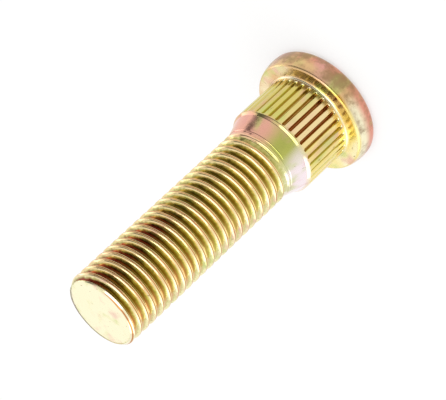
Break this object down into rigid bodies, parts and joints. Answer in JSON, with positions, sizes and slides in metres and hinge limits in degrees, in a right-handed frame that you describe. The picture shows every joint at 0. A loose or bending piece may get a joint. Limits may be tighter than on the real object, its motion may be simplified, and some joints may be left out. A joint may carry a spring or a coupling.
{
  "type": "wheel stud",
  "caption": "Press-in wheel stud with a flat round head, splined shoulder, cone neck and right-hand M12 x 1.5 thread, in yellow chromated steel",
  "frame": {"origin": "centre of the head's flat outer face, on which the stud stands", "axes": "+Z along the stud's axis, from the head towards the tip of the thread; X and Y are alike"},
  "size_m": [0.0192, 0.0192, 0.0505],
  "materials": {
    "yellow_zinc_steel": "zinc plated and yellow chromated, with pink and green sheen"
  },
  "bodies": {
    "root": {"wheel_stud": "yellow_zinc_steel"}
  },
  "joints": []
}
